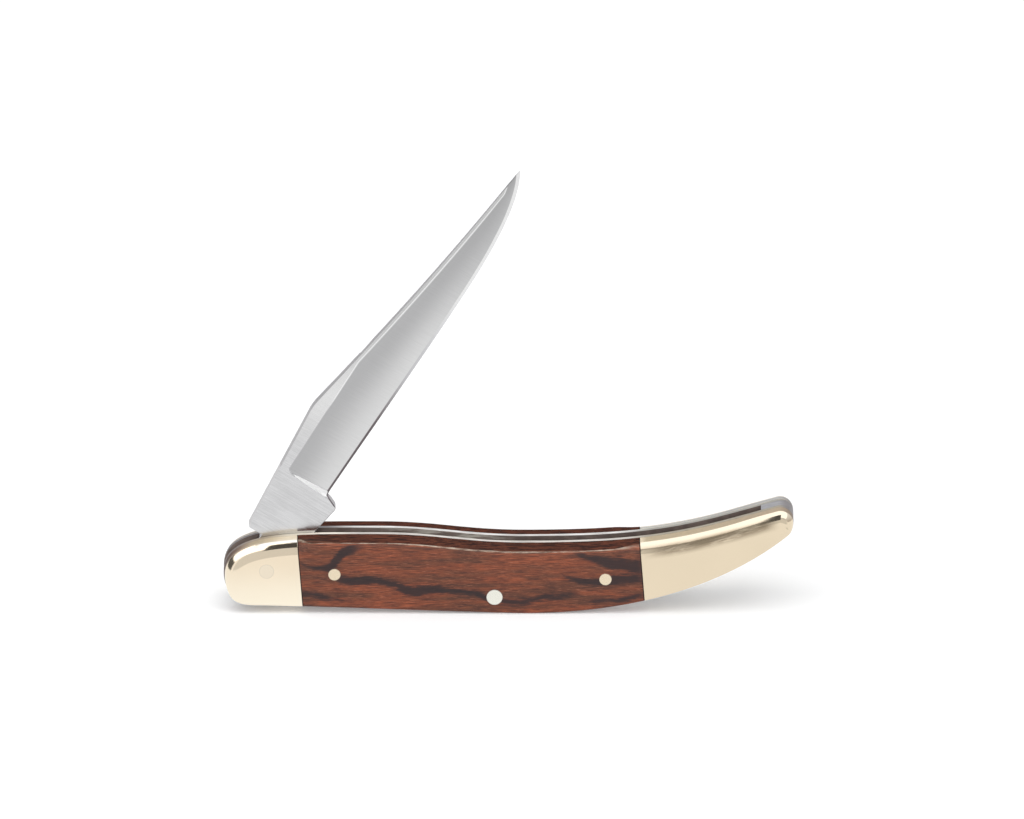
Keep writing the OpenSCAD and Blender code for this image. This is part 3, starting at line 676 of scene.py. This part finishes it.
# Handle pieces, near side first
for side, word, streaks, shift in ((-1, "near", NEAR_STREAKS, 0.0), (1, "far", FAR_STREAKS, 137.0)):
    add(f"{word}_front_bolster_form", handle_half(side, None, FRONT_JOINT_X), GOLD[side],
        "handle", (f"{word}_front_bolster",), bevel=0.05)
    add(f"{word}_rear_bolster_form", handle_half(side, REAR_JOINT_X, None), GOLD[side],
        "handle", (f"{word}_rear_bolster",), bevel=0.05)
    add(f"{word}_scale_form", handle_half(side, FRONT_JOINT_X, REAR_JOINT_X),
        wood(f"{word}_wood", streaks, shift), "handle", (f"{word}_scale",), bevel=0.05)
    add(f"{word}_liner_form", plate(OUTLINE, side * HALF_SLOT, side * LINER_Y), LINER[side],
        "handle", (f"{word}_liner",), bevel=0.03)


# Backspring in its pressed shape
def spring_outline():
    kick_x, nose_top = PIVOT[0] + KICK_U, PIVOT[1] - TANG_REACH
    run_end = (PIVOT[0] + 3, nose_top)
    mid_start, mid_end = (SPRING_PIN[0] - 5, LIMB_H), (SPRING_PIN[0] + 4, LIMB_H)
    back = [(NOSE_X, at(UNDER, NOSE_X))] + [p for p in UNDER if p[0] > NOSE_X + 0.1]
    tail = TAIL + [p for p in TOP if p[0] > SLOT_END_X + 0.1]
    tail += [(SLOT_END_X, at(TOP_BY_X, SLOT_END_X))]
    floor = (SLOT_END_X, SLOT_FLOOR_H)
    line = [floor] + bezier(floor, (floor[0] - 4.5, floor[1] - 3.5),
                            (mid_end[0] + 16, LIMB_H), mid_end, 40)
    line += [mid_start] + bezier(mid_start, (mid_start[0] - 5, LIMB_H), (kick_x + 8, REST_H),
                                 (kick_x + 1, REST_H), 24)
    line += bezier((kick_x + 1, REST_H), (kick_x - 3, REST_H),
                   (run_end[0] + 2.8, nose_top), run_end, 16)
    line += [(NOSE_X, nose_top)]
    return [(x, z - NOSE_DROP * bend_share(x)) for x, z in back + tail + line]


add("backspring_form", plate(spring_outline(), -HALF_SLOT, HALF_SLOT), SPRING,
    "handle", ("backspring",), bevel=0.03)


# Pins, each spun with a faint crown and a small rim. One given a bolster's metal is flat.
# A pin through both sides has both ends, a short one ends at the slot.
def pin(name, centre, d, sides, rgb, proud, metal=None, around=56, skirt=0.6):
    r, top = d / 2, HALF_T + proud
    crown = [(0.5 * r, top - 0.001), (0.9 * r, top - 0.002), (0.97 * r, top - 0.003),
             (r, top - proud - 0.004)]
    path = [(0, top)] + ([(r, top)] if metal else crown) + [(r, top - skirt)]
    if len(sides) == 1:
        path = [(p, side * y) for side in sides for p, y in path + [(r, HALF_SLOT), (0, HALF_SLOT)]]
    else:
        path += [(p, -y) for p, y in reversed(path)]
    bm = bmesh.new()
    rings = []
    for radius, y in path:
        angles = [2 * math.pi * i / around for i in range(around)] if radius else [0]
        rings.append([bm.verts.new(((centre[0] + radius * math.cos(a)) * MM, y * MM,
                                    (centre[1] + radius * math.sin(a)) * MM)) for a in angles])
    for a, b in zip(rings, rings[1:]):
        for i in range(around):
            j = (i + 1) % around
            if len(a) == 1:
                bm.faces.new((a[0], b[i], b[j]))
            elif len(b) == 1:
                bm.faces.new((a[i], a[j], b[0]))
            else:
                bm.faces.new((a[i], a[j], b[j], b[i]))
    add(name + "_form", bm, metal or pin_metal(name + "_metal", rgb, centre, r),
        "handle", (name,), sharp=50)


BRASS, PALE = (238, 222, 194), (240, 239, 228)
pin("pivot_pin", PIVOT, PIVOT_D, (-1, 1), (243, 230, 208), 0.004)
pin("tail_pin", TAIL_PIN, TAIL_PIN_D, (-1, 1), None, 0.001, GOLD[-1])
pin("spring_pin", SPRING_PIN, SPRING_PIN_D, (-1, 1), PALE, 0.02)
for word, side in (("near", -1), ("far", 1)):
    pin(f"{word}_front_scale_pin", FRONT_PIN, SCALE_PIN_D, (side,), BRASS, 0.02)
    pin(f"{word}_rear_scale_pin", REAR_PIN, SCALE_PIN_D, (side,), BRASS, 0.02)


# The blade's body. The grind starts at a leaning plunge, and ends in a last bevel at the edge.
PLUNGE_LEAN, PLUNGE_DROP, PLUNGE_BLEND = 0.06, 0.55, 0.9
PLUNGE_LOW_W, PLUNGE_HIGH_W, PLUNGE_H = 0.75, 0.3, 6
BEVEL_HALF, BEVEL_SLOPE = 0.008, 0.2
RIM, RIM_SLOPE, THINNEST = 0.07, 0.8, 0.004


def grind_line(u):
    back, edge = at(back_pts, u), at(edge_pts, u)
    line = min(GRIND_V, back - min(CLIP_LAND, 0.3 * (back - edge)))
    return line - PLUNGE_DROP * (1 - smooth((u - PLUNGE_U) / PLUNGE_BLEND)) ** 2


def half_thickness(u, v):
    stock = BLADE_HALF
    low, high = at(under_pts, u), at(over_pts, u)
    if u > CLIP_U:
        stock = between(BLADE_HALF, TIP_HALF, (u - CLIP_U) / (BLADE_L - CLIP_U))
    value = stock
    if u > PLUNGE_U - 0.4:
        edge, line = at(edge_pts, max(u, PLUNGE_U)), grind_line(max(u, PLUNGE_U))
        ground = between(EDGE_HALF, stock, clamped((v - edge) / max(0.01, line - edge)) ** HOLLOW)
        start = PLUNGE_U - 0.3 + PLUNGE_LEAN * (v + HEEL_V)
        width = between(PLUNGE_LOW_W, PLUNGE_HIGH_W, clamped((v + HEEL_V) / PLUNGE_H))
        value = between(stock, ground, math.sin(clamped((u - start) / width) * math.pi / 2))
        if u > PLUNGE_U:
            bevel = BEVEL_HALF + (v - low) * BEVEL_SLOPE
            value = min(value, bevel + 3 * max(0.0, PLUNGE_U + 0.5 - u))
    rim = high - v if u >= PLUNGE_U else min(high - v, v - low)
    if rim < RIM:
        value = max(THINNEST, value - (RIM - rim) * RIM_SLOPE)
    return value


# Where the blade's cross sections stand, closer together at the plunge and at the tip
def blade_stations():
    fine_from, fine_to, tip_from = PLUNGE_U - 0.6, PLUNGE_U + 1.4, BLADE_L - 2
    stations = list(np.arange(-TANG_REACH, fine_from, 0.25)) + [SHOULDER_U - 0.001]
    stations += [p[0] for p in under_pts[:15]] + [p[0] for p in over_pts[:15]]
    stations += list(np.arange(fine_from, fine_to, 0.04))
    stations += list(np.arange(fine_to, tip_from, 0.3)) + list(np.linspace(tip_from, BLADE_L, 16))
    return sorted(set(round(u, 4) for u in stations))


def blade_mesh():
    bm = bmesh.new()
    sides = {1: [], -1: []}
    for u in blade_stations():
        low, high = at(under_pts, u), at(over_pts, u)
        line = grind_line(max(u, PLUNGE_U))
        line = min(between(line, between(low, high, 0.9), smooth((PLUNGE_U - u) / 4)), high - 0.1)
        reach = max(0.001, line - low)
        vs = [low + d * min(1.0, reach / 1.4)
              for d in (0, 0.03, RIM, 0.14, 0.22, 0.28, 0.34, 0.42)]
        start = vs[-1]
        vs += [between(start, line, i / 16) for i in range(1, 17)]
        vs += [between(line, high, i / 4) for i in (0.2, 1, 2, 3)]
        vs += [high - min(RIM, 0.2 * (high - line)), high - min(0.03, 0.1 * (high - line)), high]
        slant = PLUNGE_LEAN * smooth(1.6 - abs(u - PLUNGE_U) / 2)
        spots = []
        for v in vs:
            part, us_here, here = (v - low) / (high - low), u, v
            for _ in range(3):
                us_here = u + slant * (here + HEEL_V)
                here = between(at(under_pts, us_here), at(over_pts, us_here), part)
            spots.append((us_here, here))
        for sign in sides:
            sides[sign].append([bm.verts.new((a * MM, b * MM, sign * half_thickness(a, b) * MM))
                                for a, b in spots])
    for sign, rows in sides.items():
        for a, b in zip(rows, rows[1:]):
            for i in range(len(a) - 1):
                quad = (a[i], b[i], b[i + 1], a[i + 1])
                bm.faces.new(quad if sign > 0 else quad[::-1])
    near, far = sides[1], sides[-1]
    for i in (0, -1):
        for k in range(len(near) - 1):
            bm.faces.new((near[k][i], far[k][i], far[k + 1][i], near[k + 1][i]))
    for k in (0, -1):
        for i in range(len(near[k]) - 1):
            bm.faces.new((near[k][i], near[k][i + 1], far[k][i + 1], far[k][i]))
    return bm


def cutter(name, radius, depth, matrix, segments):
    bm = bmesh.new()
    bmesh.ops.create_cone(bm, cap_ends=True, segments=segments, radius1=radius * MM,
                          radius2=radius * MM, depth=depth * MM, matrix=matrix)
    return mesh_object(name, bm)


# The pivot bore, and the nail nick, which a wheel cuts into the far face
raw = blade_mesh()
bmesh.ops.recalc_face_normals(raw, faces=raw.faces)
raw_obj = mesh_object("blade_raw", raw)
wheel_r = (NICK_HALF_L ** 2 + NICK_DEEP ** 2) / (2 * NICK_DEEP)
wheel_w = NICK_DEEP - half_thickness(NICK_U, 3.5) - wheel_r
wheel_at = Matrix.Translation((NICK_U * MM, NICK_V * MM, wheel_w * MM))
tools = [
    cutter("bore_tool", BORE_R, 6, Matrix.Identity(4), 64),
    cutter("nick_tool", wheel_r, NICK_W, wheel_at @ Matrix.Rotation(math.pi / 2, 4, "X"), 720),
]
for tool in tools:
    m = raw_obj.modifiers.new(tool.name, "BOOLEAN")
    m.operation, m.solver, m.object = "DIFFERENCE", "EXACT", tool
bpy.context.view_layer.update()
cut = bpy.data.meshes.new_from_object(raw_obj.evaluated_get(bpy.context.evaluated_depsgraph_get()))
for obj in [raw_obj] + tools:
    bpy.data.objects.remove(obj)
shaped = bmesh.new()
shaped.from_mesh(cut)
bmesh.ops.transform(shaped, verts=shaped.verts, matrix=Matrix((
    (math.cos(BLADE_ANGLE), -math.sin(BLADE_ANGLE), 0, PIVOT[0] * MM),
    (0, 0, -1, 0),
    (math.sin(BLADE_ANGLE), math.cos(BLADE_ANGLE), 0, PIVOT[1] * MM),
    (0, 0, 0, 1))))
add("blade_form", shaped, STEEL, "blade", ("blade",), sharp=16)


# Stage: a flat face of one material
def sheet(name, corners, material):
    mesh = bpy.data.meshes.new(name)
    mesh.from_pydata(corners, [], [(0, 1, 2, 3)])
    mesh.materials.append(material)
    return link_object(name, mesh)


def empty_tree(owner):
    owner.use_nodes = True
    owner.node_tree.nodes.clear()
    return owner.node_tree.nodes, owner.node_tree.links


# Floor: white to the camera and in reflections, and it keeps the knife's shadow. Its camera
# glow grows with the distance from the knife, in metres.
FLOOR_TINT, GLOW_NEAR, GLOW_FAR = (0.796, 0.8, 0.804, 1), (0.06, 0.225), (0.35, 0.4)
floor_material = bpy.data.materials.new("floor_white")
nodes, links = empty_tree(floor_material)
out = nodes.new("ShaderNodeOutputMaterial")
diffuse = nodes.new("ShaderNodeBsdfDiffuse")
diffuse.inputs[0].default_value = FLOOR_TINT
path = nodes.new("ShaderNodeLightPath")
far_off = nodes.new("ShaderNodeVectorMath")
far_off.operation = "LENGTH"
links.new(nodes.new("ShaderNodeNewGeometry").outputs["Position"], far_off.inputs[0])
fill = nodes.new("ShaderNodeMapRange")
for socket, value in zip(("From Min", "To Min", "From Max", "To Max"), GLOW_NEAR + GLOW_FAR):
    fill.inputs[socket].default_value = value
links.new(far_off.outputs["Value"], fill.inputs["Value"])
lift = nodes.new("ShaderNodeMath")
lift.operation = "MULTIPLY"
links.new(path.outputs["Is Camera Ray"], lift.inputs[0])
links.new(fill.outputs[0], lift.inputs[1])
glow = nodes.new("ShaderNodeEmission")
links.new(lift.outputs[0], glow.inputs["Strength"])
both = nodes.new("ShaderNodeAddShader")
links.new(diffuse.outputs[0], both.inputs[0])
links.new(glow.outputs[0], both.inputs[1])
white = nodes.new("ShaderNodeEmission")
pick = nodes.new("ShaderNodeMixShader")
links.new(path.outputs["Is Glossy Ray"], pick.inputs[0])
links.new(both.outputs[0], pick.inputs[1])
links.new(white.outputs[0], pick.inputs[2])
links.new(pick.outputs[0], out.inputs[0])
sheet("floor", [(-3, -3, 0), (3, -3, 0), (3, 3, 0), (-3, 3, 0)], floor_material)

# World: soft grey light, white where the camera or a reflection sees it
WORLD_LEVEL = 0.64
world = bpy.data.worlds.new("studio")
bpy.context.scene.world = world
nodes, links = empty_tree(world)
out = nodes.new("ShaderNodeOutputWorld")
path = nodes.new("ShaderNodeLightPath")
seen = nodes.new("ShaderNodeMath")
seen.operation = "MAXIMUM"
links.new(path.outputs["Is Camera Ray"], seen.inputs[0])
links.new(path.outputs["Is Glossy Ray"], seen.inputs[1])
level = nodes.new("ShaderNodeMapRange")
level.inputs["To Min"].default_value = WORLD_LEVEL
links.new(seen.outputs[0], level.inputs["Value"])
back = nodes.new("ShaderNodeBackground")
back.inputs["Color"].default_value = (1, 1, 1, 1)
links.new(level.outputs[0], back.inputs["Strength"])
links.new(back.outputs[0], out.inputs[0])


# Lamps, in metres and watts. The cards below stand in for them in reflections.
def softbox(name, place, target, size, power):
    light = bpy.data.lights.new(name, "AREA")
    light.shape, light.energy = "RECTANGLE", power
    light.size, light.size_y = size
    obj = link_object(name, light)
    obj.location = place
    obj.rotation_mode = "QUATERNION"
    obj.rotation_quaternion = (Vector(target) - Vector(place)).to_track_quat("-Z", "Y")
    obj.visible_glossy = False


softbox("top_box", (-0.04, -0.2, 0.5), (0, 0, 0.01), (0.7, 0.45), 1.5)
softbox("left_box", (-0.5, -0.35, 0.4), (0, 0, 0.02), (0.4, 0.4), 0.5)
softbox("front_box", (-0.15, -0.6, 0.28), (0, 0, 0.02), (0.5, 0.3), 0.9)
softbox("right_box", (0.55, -0.3, 0.3), (0, 0, 0.02), (0.3, 0.3), 0.5)


# Cards that only reflections show: a white one above, a dark one on the left, a small dark one
# each over the front bolsters and the tail tip, and grey ones in front
def card(name, corners, level):
    mat = bpy.data.materials.new(name)
    nodes, links = empty_tree(mat)
    shine, end = nodes.new("ShaderNodeEmission"), nodes.new("ShaderNodeOutputMaterial")
    shine.inputs["Color"].default_value = (level, level, level, 1)
    links.new(shine.outputs[0], end.inputs[0])
    obj = sheet(name, corners, mat)
    obj.visible_camera = obj.visible_diffuse = obj.visible_shadow = False


def level_card(name, height, plan, level):
    card(name, [(x, y, height) for x, y in plan], level)


level_card("white_card", 0.5, [(-0.9, -0.16), (0.6, -0.16), (0.6, 0.74), (-0.9, 0.74)], 1.8)
card("left_card", [(-0.9, -0.2, 0), (-0.9, 1.8, 0), (-0.9, 1.8, 0.46), (-0.9, -0.2, 0.46)], 0.11)
level_card("dark_card", 0.1,
           [(-0.062, -0.055), (-0.02, -0.055), (-0.02, 0.0176), (-0.053, 0.0176)], 0.075)
level_card("tip_card", 0.06,
           [(0.013, -0.058), (0.036, -0.058), (0.04, 0.006), (0.017, 0.006)], 0.12)
card("front_card", [(-1.5, -0.8, 0), (1.5, -0.8, 0), (1.5, -0.8, 2.2), (-1.5, -0.8, 2.2)], 0.74)
level_card("low_card", 0.002, [(-1.5, -0.8), (1.5, -0.8), (1.5, -0.12), (-1.5, -0.12)], 0.92)

# The camera looks along +Y from 20 degrees above, through a long lens
ELEVATION, PIXELS_WIDE, PIXELS_PER_MM = math.radians(20), 1024, 7.487
aim = Vector((0.467 * MM, 0, 27.43 * MM))
cam = bpy.data.cameras.new("camera")
cam.lens, cam.sensor_width = 1000, 36
cam.clip_start, cam.clip_end = 0.05, 20
distance = (PIXELS_WIDE / PIXELS_PER_MM / 2) * MM / (cam.sensor_width / 2 / cam.lens)
away = Vector((0, -math.cos(ELEVATION), math.sin(ELEVATION)))
eye = link_object("camera", cam)
eye.location = aim + away * distance
eye.rotation_mode = "QUATERNION"
eye.rotation_quaternion = (-away).to_track_quat("-Z", "Y")
bpy.context.scene.camera = eye
bpy.context.scene.view_settings.view_transform = "Standard"
